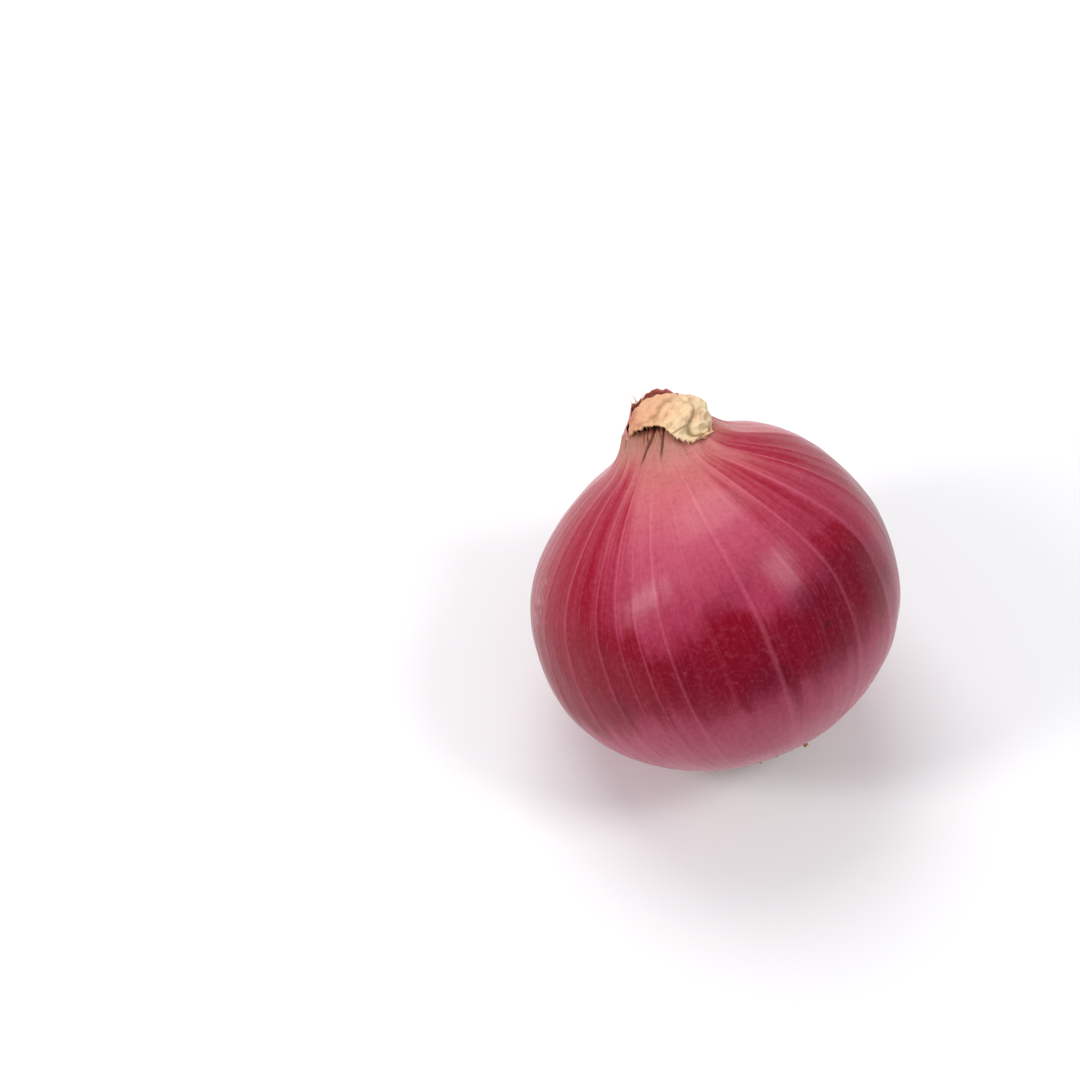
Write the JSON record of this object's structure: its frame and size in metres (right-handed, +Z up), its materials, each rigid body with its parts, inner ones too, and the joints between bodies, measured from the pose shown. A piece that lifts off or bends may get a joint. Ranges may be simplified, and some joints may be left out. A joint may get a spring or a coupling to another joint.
{
  "type": "red onion",
  "caption": "Whole red onion lying on its side, with dry papery neck and a crust of trimmed root stubs.",
  "frame": {"origin": "on the surface the onion rests on, under the middle of its extent", "axes": "+Z up from the flat spot it rests on; the neck leans back towards +Y and a little towards -X, the root end shows at the front, towards -Y"},
  "size_m": [0.0658, 0.0642, 0.064],
  "materials": {
    "onion_skin": "semi-gloss papery skin",
    "dry_leaf": "matt dry leaf",
    "dry_root": "matt dry root"
  },
  "bodies": {
    "root": {"bulb": "onion_skin", "dry_neck": "dry_leaf", "root_plate": "dry_root"}
  },
  "joints": []
}
